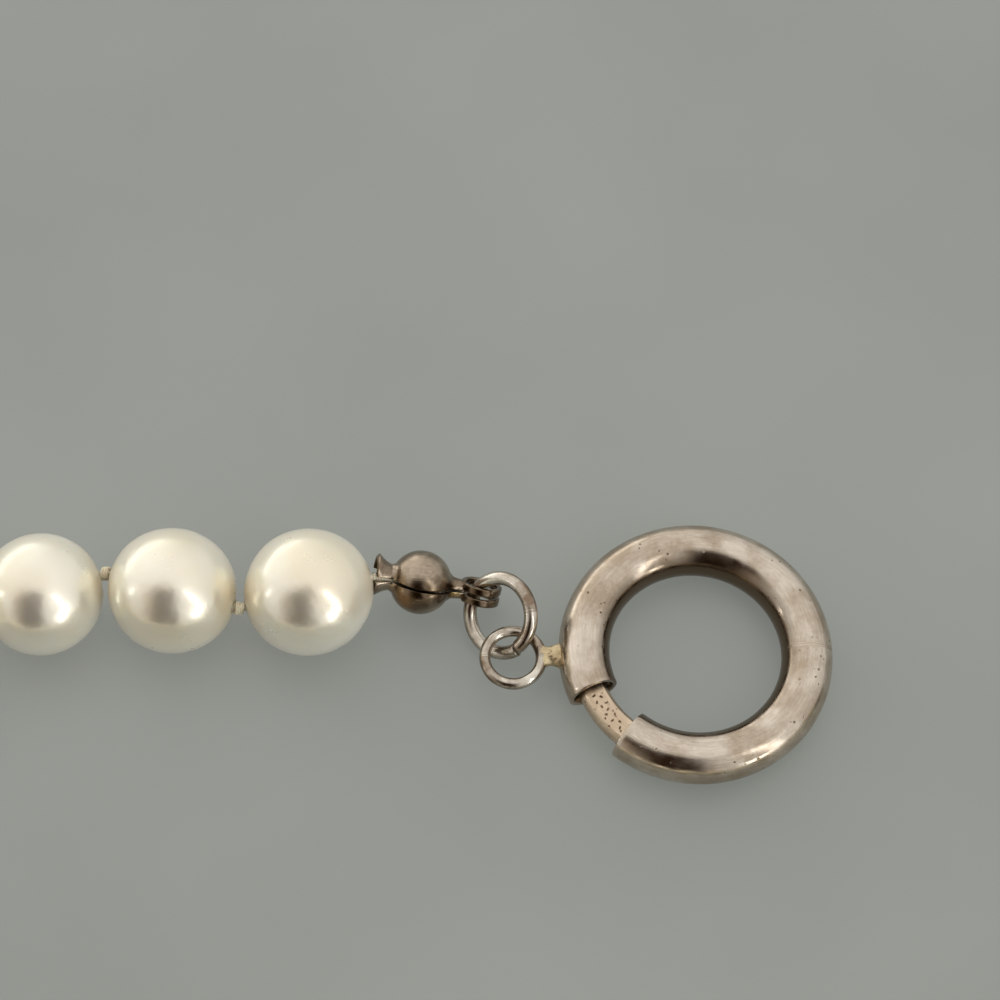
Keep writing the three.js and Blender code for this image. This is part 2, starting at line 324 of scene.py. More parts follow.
# %% Nacre finish
WARM = (0.80, 0.66, 0.43, 1)


def ramp(tree, amount, *stops):
    """A colour ramp through (position, colour) stops."""
    node = add_node(tree, "ValToRGB", {"Fac": amount})
    elements = node.color_ramp.elements
    while len(elements) < len(stops):
        elements.new(0.5)
    for element, (position, colour) in zip(elements, stops):
        element.position = position
        element.color = colour
    return node.outputs["Color"]


def blend(tree, amount, under, over, way="MIX"):
    inputs = {"Factor": amount, 6: under, 7: over}
    return add_node(tree, "Mix", inputs, data_type="RGBA", blend_type=way).outputs[2]


def in_mm(tree, stretch=(1, 1, 1), source=None):
    """Object coordinates counted in millimetres, or a mesh attribute of that name instead."""
    if source:
        coords = add_node(tree, "Attribute", attribute_name=source).outputs["Vector"]
        scale = stretch
    else:
        coords = add_node(tree, "TexCoord").outputs["Object"]
        scale = [s / MM for s in stretch]
    return add_node(tree, "Mapping", {"Vector": coords, "Scale": scale}).outputs["Vector"]


def noise(tree, coords, scale, detail=3.0, roughness=0.5):
    inputs = {"Vector": coords, "Scale": scale, "Detail": detail, "Roughness": roughness}
    return add_node(tree, "TexNoise", inputs).outputs["Fac"]


def bump(tree, height, depth, normal=None):
    """depth is in millimetres."""
    inputs = {"Height": height, "Distance": depth * MM, "Strength": 1.0}
    if normal:
        inputs["Normal"] = normal
    return add_node(tree, "Bump", inputs).outputs["Normal"]


def finish_named(name, **sockets):
    material = bpy.data.materials.new(name)
    material.use_nodes = True
    shader = material.node_tree.nodes["Principled BSDF"]
    for socket, value in sockets.items():
        shader.inputs[socket.replace("_", " ")].default_value = value
    return material, material.node_tree, shader


def nacre_finish():
    nacre, tree, shader = finish_named(
        "nacre",
        IOR=1.6,
        Subsurface_Weight=0.5,
        Subsurface_Scale=1.1 * MM,
        Subsurface_Radius=(1.0, 0.8, 0.6),
        Sheen_Weight=0.3,
        Sheen_Roughness=0.4,
        Sheen_Tint=(1.0, 0.95, 0.86, 1),
        Coat_Weight=0.55,
        Coat_Roughness=0.07,
        Coat_IOR=1.55,
        Thin_Film_Thickness=420,
        Thin_Film_IOR=1.45,
    )
    coords = in_mm(tree)
    patches = noise(tree, coords, 0.22, 2)
    cream = ramp(tree, patches, (0.35, (0.90, 0.82, 0.66, 1)), (0.65, (0.94, 0.89, 0.77, 1)))
    hole = add_node(tree, "Attribute", attribute_name="near_hole").outputs["Fac"]
    wear = add_node(tree, "Math", {0: hole, 1: 0.75}, operation="MULTIPLY").outputs["Value"]
    cream = blend(tree, wear, cream, WARM)
    tree.links.new(cream, shader.inputs["Base Color"])
    edge_on = add_node(tree, "LayerWeight", {"Blend": 0.5}).outputs["Facing"]
    mirror = {"Value": edge_on, "From Min": 0.15, "From Max": 0.75, "To Min": 0.74, "To Max": 0.12}
    tree.links.new(add_node(tree, "MapRange", mirror).outputs["Result"], shader.inputs["Metallic"])
    gloss = {"Value": noise(tree, coords, 0.6), "To Min": 0.24, "To Max": 0.34}
    tree.links.new(add_node(tree, "MapRange", gloss).outputs["Result"], shader.inputs["Roughness"])
    ripple = bump(tree, noise(tree, coords, 0.9, 2), 0.03)
    skin = bump(tree, noise(tree, coords, 9, 4, 0.6), 0.0012, normal=ripple)
    tree.links.new(skin, shader.inputs["Normal"])
    return nacre


nacre = nacre_finish()
print("nacre mixed")

# %% [markdown]
# ## One pearl
# A pearl starts as a sphere with its poles on the drill holes. The polar caps are cut away, each rim
# is drawn in to the drill's size and turned inwards as a worn edge, and the two rims are bridged, so
# the hole really goes through. A displacement of a few hundredths of a millimetre makes it less than
# perfectly round, which is what makes the reflections on a real pearl wander.

# %% Model one pearl
DRILL = 0.42  # mm, radius of the hole
PEARL_SIZE = 3.5  # mm, radius it is modelled at


def model_pearl():
    start_clear()
    bpy.ops.mesh.primitive_uv_sphere_add(segments=56, ring_count=44, radius=PEARL_SIZE * MM)
    pearl = bpy.context.object
    pearl.name = "pearl_model"
    pick(lambda v: math.hypot(v.x, v.y) < 0.4 * MM)
    bpy.ops.mesh.delete(type="VERT")
    finish_edit()
    for side in (1, -1):
        pick(lambda v: math.hypot(v.x, v.y) < 0.6 * MM and v.z * side > 0)
        top = max(v.co.z * side for v in pearl.data.vertices)
        bpy.ops.transform.resize(value=(0.95, 0.95, 1), center_override=(0, 0, side * top))
        bpy.ops.mesh.extrude_region_move()
        bpy.ops.transform.resize(value=(0.9, 0.9, 1), center_override=(0, 0, side * top))
        bpy.ops.transform.translate(value=(0, 0, side * 0.012 * MM))
        bpy.ops.mesh.extrude_region_move()
        bpy.ops.transform.resize(value=(0.92, 0.92, 1), center_override=(0, 0, side * top))
        bpy.ops.transform.translate(value=(0, 0, -side * 0.08 * MM))
        finish_edit()
    pick(lambda v: math.hypot(v.x, v.y) < DRILL * MM and abs(v.z) < (PEARL_SIZE - 0.05) * MM)
    bpy.ops.mesh.bridge_edge_loops()
    bpy.ops.mesh.select_all(action="SELECT")
    bpy.ops.mesh.normals_make_consistent(inside=False)
    finish_edit()
    return pearl


pearl_model = model_pearl()
print("one pearl:", len(pearl_model.data.polygons), "faces")

# %% [markdown]
# The swelling comes first, because applying a modifier rewrites the mesh. Then each point gets its
# number for the wear, which grows from nothing at about three quarters of the way to the pole.

# %% Wear at the holes, and a skin that isn't quite round
swell = bpy.data.textures.new("swell", "CLOUDS")
swell.noise_scale = 3.0 * MM
apply_modifier(pearl_model, "DISPLACE", texture=swell, strength=0.10 * MM, mid_level=0.5)
smooth(pearl_model, 50)

near_hole = pearl_model.data.attributes.new("near_hole", "FLOAT", "POINT")
for point, vertex in zip(near_hole.data, pearl_model.data.vertices):
    reach = abs(vertex.co.z) / (PEARL_SIZE * MM)
    point.value = max(0.0, (reach - 0.72) / 0.28) ** 2
print("pearl worn at", sum(p.value > 0.1 for p in near_hole.data), "points")

# %% [markdown]
# ## The strand of pearls
# The pearl is copied to each place in the frame. The frame's own pearls are lathed solids, and the
# points on the rims of their drill holes are the only ones that lie as near as the pearl's radius,
# so the line between the two rims gives the drill's direction. Each copy is rolled to an angle of
# its own about that line, so that no two show the same side.


# %% Place the pearls
def drill_line(node):
    """(middle, radius, direction of the drill hole) of a pearl in the frame."""
    low, high = (Vector(corner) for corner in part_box(node))
    middle = (low + high) / 2
    radius = (high.z - low.z) / 2
    spokes = [v.co - middle for v in frame["nodes"][node].data.vertices]
    rims = [spoke for spoke in spokes if spoke.length < radius * 1.004]
    ahead = [spoke for spoke in rims if spoke.dot(rims[0]) > 0]
    return middle, radius, sum(ahead, Vector()).normalized()


pearl_nodes = sorted(name for name in frame["nodes"] if name.startswith("pearl_"))
lines = [drill_line(node) for node in pearl_nodes]
for i, (middle, radius, line) in enumerate(lines):
    if i and line.dot(middle - lines[i - 1][0]) < 0 or not i and line.dot(lines[1][0] - middle) < 0:
        lines[i] = (middle, radius, -line)

pearls = []
for i, (node, (middle, radius, line)) in enumerate(zip(pearl_nodes, lines)):
    pearl = copy_of(pearl_model, "finished_" + node)
    roll = Matrix.Rotation(2.4 * i, 4, "Z")
    grown = radius / PEARL_SIZE / MM
    squash = 0.985 + 0.006 * math.sin(5.0 * i)
    size = Matrix.Diagonal((0.995 * grown, squash * grown, grown, 1))
    put_down(pearl, facing(line, middle) @ roll @ size)
    dress(pearl, nacre, "strand", "nacre", node)
    pearls.append(pearl)
bpy.data.objects.remove(pearl_model)
print(len(pearls), "pearls strung")

# %% [markdown]
# ## Silk
# The silk is one thread, knotted after each pearl so that the beads can't rub and can't all be lost.
# It is a curve through the drill holes, given a round section and turned into a mesh. A knot is
# modelled once: three wraps of thread as leaning rings, fused by a remesh into one soft lump, and
# copied to the middle of each gap.


# %% Silk finish
def silk_finish():
    silk, tree, shader = finish_named("silk", Roughness=0.85, Sheen_Weight=0.5, Subsurface_Weight=0.2)
    shader.inputs["Subsurface Scale"].default_value = 0.2 * MM
    coords = in_mm(tree)
    plies = add_node(tree, "TexWave", {"Vector": coords, "Scale": 2.2, "Distortion": 5.0})
    shade = blend(tree, 0.5, plies.outputs["Color"], noise(tree, coords, 7))
    creams = ramp(tree, shade, (0.2, (0.72, 0.62, 0.42, 1)), (0.7, (0.92, 0.87, 0.70, 1)))
    tree.links.new(creams, shader.inputs["Base Color"])
    tree.links.new(bump(tree, shade, 0.05), shader.inputs["Normal"])
    return silk


silk = silk_finish()

# %% [markdown]
# Each drill hole's line is known, so the middle of a gap lies halfway between the point where the
# line leaves one pearl and the point where it meets the next.

# %% Where the knots are
KNOT_FROM_PEARL = 0.32 * MM


def gap_points():
    """The middle of each gap along the strand, with both ends of the strand first and last."""
    leaving = [middle + line * (radius + KNOT_FROM_PEARL) for middle, radius, line in lines]
    coming = [middle - line * (radius + KNOT_FROM_PEARL) for middle, radius, line in lines]
    between = [(a + b) / 2 for a, b in zip(leaving, coming[1:])]
    return [coming[0], *between, leaving[-1]]


knots = gap_points()
print(len(knots) - 2, "knots between pearls")


# %% [markdown]
# The thread ends inside the calottes, so their places are needed first. A calotte's own X runs from
# its ball to its loops. Its middle is found from how far the frame's solid reaches along each of its
# own axes.

# %% Own axes of a calotte
LIP_END = 2.62  # mm, from the ball's middle to the ends of its lips
# directions of the loops, and across the seam
CALOTTE_TURNS = {
    "calotte_clasp_end": ((0.97, -0.08, -0.24), (0.22, 0.76, 0.62)),
    "calotte_far_end": ((-0.872, 0.338, -0.3545), (-0.361, -0.9325, 0.0)),
}


def calotte_place(node, along, across):
    """The placement of a calotte: its ball at the origin, loops towards X, halves apart along Y."""
    along = Vector(along).normalized()
    across = Vector(across)
    across = (across - along * across.dot(along)).normalized()
    seam = along.cross(across)
    spans = []
    for axis in (along, across, seam):
        reach = [axis.dot(v.co) for v in frame["nodes"][node].data.vertices]
        spans.append((min(reach), max(reach)))
    ball = along * (spans[0][0] + LIP_END * MM) + across * sum(spans[1]) / 2 + seam * sum(spans[2]) / 2
    return Matrix.Translation(ball) @ Matrix((along, across, seam)).transposed().to_4x4()


calotte_places = {node: calotte_place(node, *turn) for node, turn in CALOTTE_TURNS.items()}
for node, place in calotte_places.items():
    print(node, "ball at", [round(v / MM, 2) for v in place.translation], "mm")


# %% [markdown]
# The thread is soft, but it hangs tight between pearls, so straight pieces do. Each knot is turned
# to the line of its own gap and rolled by its own angle.

# %% Thread and knots
def model_thread(points, radius):
    start_clear()
    bpy.ops.curve.primitive_bezier_curve_add()
    thread = bpy.context.object
    spline = thread.data.splines[0]
    spline.bezier_points.add(len(points) - 2)
    for bezier, point in zip(spline.bezier_points, points):
        bezier.co = point
        bezier.handle_left_type = bezier.handle_right_type = "VECTOR"
    thread.data.bevel_depth = radius
    thread.data.bevel_resolution = 3
    thread.data.use_fill_caps = True
    bpy.ops.object.convert(target="MESH")
    return bpy.context.object


def model_knot():
    """Three leaning wraps, fused. The thread runs along Z."""
    wraps = []
    for lean, rise in ((0.5, -0.09), (-0.45, 0.02), (0.25, 0.11)):
        start_clear()
        bpy.ops.mesh.primitive_torus_add(
            major_radius=0.27 * MM,
            minor_radius=0.125 * MM,
            major_segments=20,
            minor_segments=8,
            location=(0, 0, rise * MM),
            rotation=(lean, 0.3 * lean, 0),
        )
        wraps.append(bpy.context.object)
    knot = joined("knot_model", *wraps)
    put_down(knot)
    apply_modifier(knot, "REMESH", mode="VOXEL", voxel_size=0.045 * MM)
    apply_modifier(knot, "SMOOTH", factor=0.6, iterations=2)
    return knot


THREAD_RADIUS = 0.21
thread_ends = [calotte_places[node].translation for node in CALOTTE_TURNS]
thread = model_thread([thread_ends[0], *knots, thread_ends[1]], THREAD_RADIUS * MM)
knot_model = model_knot()
knot_copies = []
for i in range(1, len(knots) - 1):
    twin = copy_of(knot_model, f"knot_{i:02d}")
    along = (lines[i][2] + lines[i - 1][2]).normalized()
    put_down(twin, facing(along, knots[i]) @ Matrix.Rotation(1.9 * i, 4, "Z"))
    knot_copies.append(twin)
bpy.data.objects.remove(knot_model)
thread = joined("thread_with_knots", thread, *knot_copies)
smooth(thread, 60)
dress(thread, silk, "strand", "silk", "silk_thread")
print("silk:", len(thread.data.polygons), "faces")

# %% [markdown]
# ## Silver, and what years of wear do to it
# Silver that is worn has fine scratches the way it was rubbed, and brown tarnish where nothing rubs
# it. On a ring or a rod the scratches follow the metal round, so each swept piece keeps a number of
# its own at every point: where that point would be if the ring were straightened out. Noise that is
# stretched along that straight length gives the scratches, and unstretched noise the tarnish.


# %% Straightened coordinates, and the silver finish
BLACK, WHITE = (0, 0, 0, 1), (1, 1, 1, 1)


def unroll(piece, radius):
    """Stores each point's place in the ring as if it were straight, in mm, before it is put down."""
    straight = piece.data.attributes.new("straight", "FLOAT_VECTOR", "POINT")
    for point, vertex in zip(straight.data, piece.data.vertices):
        round_ring = math.atan2(vertex.co.y, vertex.co.x) % math.tau
        outward = math.hypot(vertex.co.x, vertex.co.y) / MM - radius
        point.vector = (round_ring * radius, outward, vertex.co.z / MM)


def silver_finish(
    name, clean, tarnish, source=None, tarnished=0.5, rough=(0.12, 0.28), scratch=0.004, pits=0.0, marks=()
):
    """clean and tarnish are colours, scratch is a depth in mm, pits and tarnished are shares of the
    surface, and marks are (attribute, colour) pairs painted over the rest."""
    silver, tree, shader = finish_named(name, Metallic=1.0)
    even = in_mm(tree, source=source)
    drawn = in_mm(tree, (0.12, 1, 1), source)
    patches = noise(tree, even, 0.45, 5, 0.62)
    edge = 0.5 + 0.35 * (0.5 - tarnished)
    colour = ramp(tree, patches, (edge - 0.12, tarnish), (edge + 0.12, clean))
    fine = noise(tree, drawn, 9, 4, 0.65)
    dull = ramp(tree, fine, (0.35, (0.84, 0.83, 0.81, 1)), (0.62, (1, 1, 1, 1)))
    colour = blend(tree, 1.0, colour, dull, "MULTIPLY")
    relief = bump(tree, fine, scratch)
    if pits:
        cells = {"Vector": even, "Scale": 2.6, "Randomness": 1.0}
        near = add_node(tree, "TexVoronoi", cells).outputs["Distance"]
        holes = ramp(tree, near, (0.10, BLACK), (0.20, WHITE))
        hidden = ramp(tree, noise(tree, even, 0.7, 1), (0.9 - pits, WHITE), (1 - pits, BLACK))
        holes = blend(tree, 1.0, holes, hidden, "LIGHTEN")
        soot = ramp(tree, holes, (0, (0.35, 0.28, 0.2, 1)), (1, WHITE))
        colour = blend(tree, 1.0, colour, soot, "MULTIPLY")
        relief = bump(tree, holes, 0.03, normal=relief)
    # painted shade: on the ring and the bolt the inner side is painted dark brown, standing in for the shade
    # and dark reflection inside the ring
    if source and pits:
        place = add_node(tree, "SeparateXYZ", {"Vector": even})
        limits = {"Value": place.outputs["Y"], "From Min": -0.55, "From Max": -1.15}
        inside = add_node(tree, "MapRange", limits).outputs["Result"]
        colour = blend(tree, inside, colour, (0.17, 0.125, 0.085, 1))
    for mark, tint in marks:
        here = add_node(tree, "Attribute", attribute_name=mark).outputs["Fac"]
        colour = blend(tree, here, colour, tint)
    tree.links.new(colour, shader.inputs["Base Color"])
    gloss = {"Value": noise(tree, even, 1.3, 4), "From Min": 0.3, "From Max": 0.7}
    gloss.update({"To Min": rough[0], "To Max": rough[1]})
    tree.links.new(add_node(tree, "MapRange", gloss).outputs["Result"], shader.inputs["Roughness"])
    tree.links.new(relief, shader.inputs["Normal"])
    return silver


# %% [markdown]
# One recipe makes five metals. The ring is rubbed bright outside, and its inner side is painted
# dark brown, a painted shade and reflection. The wires are browner, and the calottes darkest, with a
# scorched patch and a trace of gilding. The solder is a golden alloy. The bolt has kept its gilding,
# because the tube covers it.

# %% The five metals
SCORCHED = (0.42, 0.20, 0.07, 1)
GILDED = (0.85, 0.60, 0.22, 1)
PIT_BROWN = (0.16, 0.10, 0.06, 1)

ring_silver = silver_finish(
    "ring_silver", (0.70, 0.62, 0.53, 1), (0.44, 0.355, 0.27, 1), "straight", 0.52, pits=0.35
)
wire_silver = silver_finish(
    "wire_silver", (0.74, 0.69, 0.61, 1), (0.25, 0.18, 0.125, 1), "straight", 0.5
)
dark_silver = silver_finish(
    "dark_silver",
    (0.44, 0.36, 0.28, 1),
    (0.15, 0.105, 0.065, 1),
    rough=(0.10, 0.26),
    scratch=0.012,
    marks=[("scorched", SCORCHED), ("gilded", GILDED)],
)
solder_gold = silver_finish(
    "solder_gold", (0.78, 0.66, 0.42, 1), (0.45, 0.34, 0.2, 1), None, 0.4, (0.25, 0.5), 0.02
)
bolt_gilt = silver_finish(
    "bolt_gilt",
    (0.80, 0.66, 0.50, 1),
    (0.62, 0.49, 0.36, 1),
    "straight",
    rough=(0.2, 0.38),
    scratch=0.012,
    pits=0.5,
    marks=[("pitted", PIT_BROWN)],
)
print("silver mixed")

# %% [markdown]
# ## Bolt ring
# The ring is a bent tube with a gap of three millimetres. A circle is spun round the ring's middle
# from one mouth to the other, a strip of faces is taken out underneath for the trigger's slot, and
# the skin is given its wall inwards, which also makes the rims of the two mouths. The rims are then
# rounded, since that thin bright edge is what the eye takes for thin sheet metal.

# %% Sweep a round section about the Z axis
RING_RADIUS = 6.1
TUBE_RADIUS = 1.4
MOUTH_LEFT = 203.2
MOUTH_RIGHT = 231.4


def swept(name, section, radius, start, end, steps, sides):
    """A tube of that section, in mm, spun about Z from one angle to the other, in degrees."""
    start_clear()
    bpy.ops.mesh.primitive_circle_add(
        vertices=sides, radius=section * MM, location=(radius * MM, 0, 0), rotation=(math.pi / 2, 0, 0)
    )
    piece = bpy.context.object
    piece.name = name
    put_down(piece)
    bpy.ops.object.mode_set(mode="EDIT")
    bpy.ops.mesh.select_all(action="SELECT")
    bpy.ops.mesh.spin(steps=steps, angle=math.radians(start - end), center=(0, 0, 0), axis=(0, 0, 1))
    finish_edit()
    put_down(piece, Matrix.Rotation(math.radians(start), 4, "Z"))
    return piece


def at_angle(point, degrees, width=0.2):
    """True for a point that lies at that angle about Z."""
    away = (math.degrees(math.atan2(point.y, point.x)) - degrees + 180) % 360 - 180
    return abs(away) < width


def outward_normals(piece):
    only(piece)
    bpy.ops.object.mode_set(mode="EDIT")
    bpy.ops.mesh.select_all(action="SELECT")
    bpy.ops.mesh.remove_doubles(threshold=0.002 * MM)
    bpy.ops.mesh.normals_make_consistent(inside=False)
    finish_edit()


def close_ends(piece, *angles):
    """Fills the open ends of a swept rod, which lie at those angles."""
    only(piece)
    for angle in angles:
        pick(lambda v: at_angle(v, angle))
        bpy.ops.mesh.edge_face_add()
        finish_edit()


# %% The tube
WALL = 0.26
RIM_ROUND = 0.05
SLOT_FROM = 160
SLOT_HALF_WIDTH = 0.42
tube = swept("bolt_ring_tube", TUBE_RADIUS, RING_RADIUS, MOUTH_RIGHT, MOUTH_LEFT + 360, 150, 44)


def in_slot(face):
    at = face.center
    turned = math.degrees(math.atan2(at.y, at.x)) % 360
    across = abs(math.hypot(at.x, at.y) - RING_RADIUS * MM)
    return at.z < 0 and across < SLOT_HALF_WIDTH * MM and SLOT_FROM < turned < MOUTH_LEFT


only(tube)
slot_faces = pick(in_slot, "FACE")
bpy.ops.mesh.delete(type="FACE")
finish_edit()
outward_normals(tube)
apply_modifier(tube, "SOLIDIFY", thickness=WALL * MM, offset=-1)
for mouth in (MOUTH_LEFT, MOUTH_RIGHT):
    only(tube)
    pick(lambda v: at_angle(v, mouth))
    bpy.ops.mesh.bevel(offset=RIM_ROUND * MM, segments=2, affect="EDGES")
    finish_edit()
unroll(tube, RING_RADIUS)
smooth(tube, 35)
put_down(tube, ring_place)
dress(tube, ring_silver, "strand", "silver", "bolt_ring")
print("tube:", len(tube.data.polygons), "faces,", slot_faces, "taken out for the slot")

# %% [markdown]
# ## Eye and solder
# The eye is a ring of wire soldered to the outside of the tube. The solder is a waisted lump drawn
# out step by step from a circle: each step is an extrusion, a move and a resize, as by hand. It is
# flatter than it is wide, it clasps the eye with a wider end, and a little displacement makes it the
# uneven lump that a torch leaves.

# %% Eye
EYE_AT = 182.4
EYE_DISTANCE = 9.98
EYE_RADIUS = 1.54
EYE_WIRE = 0.31
eye_place = ring_place @ Matrix.Rotation(math.radians(EYE_AT), 4, "Z")

eye = swept("eye", EYE_WIRE, EYE_RADIUS, 0, 360, 72, 20)
outward_normals(eye)
unroll(eye, EYE_RADIUS)
only(eye)
pick(lambda v: v.x < -0.7 * MM)
bpy.ops.transform.resize(value=(1, 1, 1.12), center_override=(0, 0, 0))
finish_edit()
apply_modifier(eye, "DISPLACE", texture=swell, strength=0.06 * MM, mid_level=0.5)
smooth(eye, 60)
put_down(eye, eye_place @ Matrix.Translation((EYE_DISTANCE * MM, 0, 0)))
dress(eye, wire_silver, "strand", "silver", "bolt_ring")

# %% [markdown]
# The solder's outline is a short list: how far out each section is, and how wide and high. Change a
# number in it to change the lump.

# %% Solder
# distance from the ring's middle, half width, half height, in mm
SOLDER_STEPS = [
    (7.25, 1.05, 0.55),
    (7.50, 0.72, 0.50),
    (7.75, 0.56, 0.46),
    (8.00, 0.52, 0.42),
    (8.22, 0.66, 0.40),
    (8.42, 0.92, 0.37),
    (8.62, 1.02, 0.26),
]


def model_solder():
    start_clear()
    first, width, height = SOLDER_STEPS[0]
    bpy.ops.mesh.primitive_circle_add(
        vertices=20,
        radius=1 * MM,
        fill_type="NGON",
        location=(first * MM, 0, 0),
        rotation=(0, math.pi / 2, 0),
    )
    lump = bpy.context.object
    put_down(lump)
    bpy.ops.object.mode_set(mode="EDIT")
    bpy.ops.mesh.select_all(action="SELECT")
    bpy.ops.transform.resize(value=(1, width, height), center_override=(first * MM, 0, 0))
    for (start, wide, high), (reach, wider, higher) in zip(SOLDER_STEPS, SOLDER_STEPS[1:]):
        bpy.ops.mesh.extrude_region_move(TRANSFORM_OT_translate={"value": ((reach - start) * MM, 0, 0)})
        growth = (1, wider / wide, higher / high)
        bpy.ops.transform.resize(value=growth, center_override=(reach * MM, 0, 0))
    bpy.ops.mesh.select_all(action="SELECT")
    bpy.ops.mesh.normals_make_consistent(inside=False)
    finish_edit()
    return lump


lumps = bpy.data.textures.new("lumps", "CLOUDS")
lumps.noise_scale = 0.5 * MM
solder = model_solder()
solder.name = "solder"
apply_modifier(solder, "SUBSURF", levels=2, render_levels=2)
apply_modifier(solder, "DISPLACE", texture=lumps, strength=0.22 * MM, mid_level=0.5)
smooth(solder, 60)
put_down(solder, eye_place)
dress(solder, solder_gold, "strand", "gilt", "bolt_ring")
print("solder:", len(solder.data.polygons), "faces")

# %% [markdown]
# ## Bolt
# The bolt is a rod bent to the same curve, so it slides out of one mouth and into the other. Its top
# is filed flat and pitted. The flat is made by pressing the top vertices to one height. Its faces
# are then cut finer where it shows, and the points inside each pit are pushed down in two steps.
# The trigger stands out underneath.

# %% Bolt and trigger
BOLT_RADIUS = 0.8
BOLT_TAIL = 118
BOLT_TIP = MOUTH_RIGHT + 4
FLAT_HEIGHT = 0.62
# where each pit lies: degrees round the ring, and mm outwards of the bolt's middle
PITS = [(206.4, 0.20), (208.6, -0.12), (210.2, 0.24), (212.8, -0.20), (213.4, 0.14), (216.2, -0.04)]
PITS += [(218.0, 0.22), (220.6, -0.16), (222.2, 0.18), (225.2, -0.06), (227.6, 0.20)]
PIT_SIZE = 0.12
TRIGGER_AT = 198.5
# sides, radius, top and bottom below the bolt's middle, in mm
TRIGGER_PIN = (24, 0.28, 0.0, -1.64)
TRIGGER_HEAD = (32, 0.45, -1.54, -1.90)

bolt = swept("bolt_rod", BOLT_RADIUS, RING_RADIUS, BOLT_TAIL, BOLT_TIP, 120, 44)
close_ends(bolt, BOLT_TAIL, BOLT_TIP)
outward_normals(bolt)
only(bolt)
pick(lambda v: v.z > FLAT_HEIGHT * MM)
bpy.ops.transform.resize(value=(1, 1, 0), center_override=(0, 0, FLAT_HEIGHT * MM))
finish_edit()


def pit_depth(at):
    """1 at the bottom of a pit, 0 outside them all. No pit is quite round."""
    deepest = 0.0
    for i, (degrees, outward) in enumerate(PITS):
        turned, reach = math.radians(degrees), (RING_RADIUS + outward) * MM
        x, y = at.x - reach * math.cos(turned), at.y - reach * math.sin(turned)
        size = PIT_SIZE * MM * (0.8 + 0.3 * math.sin(2 * math.atan2(y, x) + 2.4 * i))
        deepest = max(deepest, 1 - math.hypot(x, y) / size)
    return deepest if at.z > (FLAT_HEIGHT - 0.01) * MM else 0.0


pick(lambda v: v.z > (FLAT_HEIGHT - 0.01) * MM and 204 < math.degrees(math.atan2(v.y, v.x)) % 360 < 230)
bpy.ops.mesh.subdivide(number_cuts=3)
finish_edit()
unroll(bolt, RING_RADIUS)
pitted = bolt.data.attributes.new("pitted", "FLOAT", "POINT")
for mark, vertex in zip(pitted.data, bolt.data.vertices):
    mark.value = min(1.0, 1.8 * pit_depth(vertex.co))
for edge, drop in ((0.15, 0.015), (0.45, 0.025)):
    pit_points = pick(lambda v: pit_depth(v + Vector((0, 0, 0.015 * MM))) > edge)
    bpy.ops.transform.translate(value=(0, 0, -drop * MM))
    finish_edit()


def model_trigger():
    start_clear()
    parts = []
    for sides, radius, top, bottom in (TRIGGER_HEAD, TRIGGER_PIN):
        middle = (0, 0, (top + bottom) / 2 * MM)
        depth = (top - bottom) * MM
        bpy.ops.mesh.primitive_cylinder_add(vertices=sides, radius=radius * MM, depth=depth, location=middle)
        parts.append(bpy.context.object)
    trigger = joined("trigger", *parts)
    put_down(trigger)
    apply_modifier(trigger, "BEVEL", width=0.08 * MM, segments=3)
    turned = Matrix.Rotation(math.radians(TRIGGER_AT), 4, "Z")
    put_down(trigger, turned @ Matrix.Translation((RING_RADIUS * MM, 0, 0)))
    return trigger


bolt = joined("bolt_with_trigger", bolt, model_trigger())
smooth(bolt, 35)
put_down(bolt, ring_place)
dress(bolt, bolt_gilt, "bolt", "gilt", "bolt")
print("bolt:", len(PITS), "pits,", pit_points, "points pressed in")

# %% [markdown]
# ## Calottes
# A calotte is cut from one flat strip and folded: two cups close over the end knot like a shell, each
# with a flared lip round the thread and a curled loop for the ring. So one cup is modelled and the
# other is its mirror. Its outline starts as a circle, from which the ends are drawn out to the lip
# and the neck. It is spun half a turn, given its wall, and the loop is spun from a small square.

# %% One cup
CUP_RADIUS = 1.58
CUP_WALL = 0.22
SEAM = 0.14
LIP_POINTS = [(-1.74, 0.54), (-2.10, 0.66), (-2.40, 0.84), (-2.60, 0.98)]
NECK_POINTS = [(1.72, 0.44), (2.05, 0.38), (2.40, 0.36)]


def model_cup():
    start_clear()
    bpy.ops.mesh.primitive_circle_add(vertices=56, radius=CUP_RADIUS * MM, rotation=(math.pi / 2, 0, 0))
    cup = bpy.context.object
    put_down(cup)
    pick(lambda v: v.z < 0.55 * MM)
    bpy.ops.mesh.delete(type="VERT")
    finish_edit()
    for points, side in ((LIP_POINTS, -1), (NECK_POINTS, 1)):
        end = max((v.co.copy() for v in cup.data.vertices), key=lambda at: at.x * side)
        pick(lambda v: (v - end).length < 0.001 * MM)
        for x, z in points:
            step = Vector((x * MM, 0, z * MM)) - end
            bpy.ops.mesh.extrude_region_move(TRANSFORM_OT_translate={"value": step})
            end = end + step
        finish_edit()
    bpy.ops.object.mode_set(mode="EDIT")
    bpy.ops.mesh.select_all(action="SELECT")
    bpy.ops.mesh.spin(steps=28, angle=math.pi, center=(0, 0, 0), axis=(1, 0, 0))
    finish_edit()
    outward_normals(cup)
    return cup


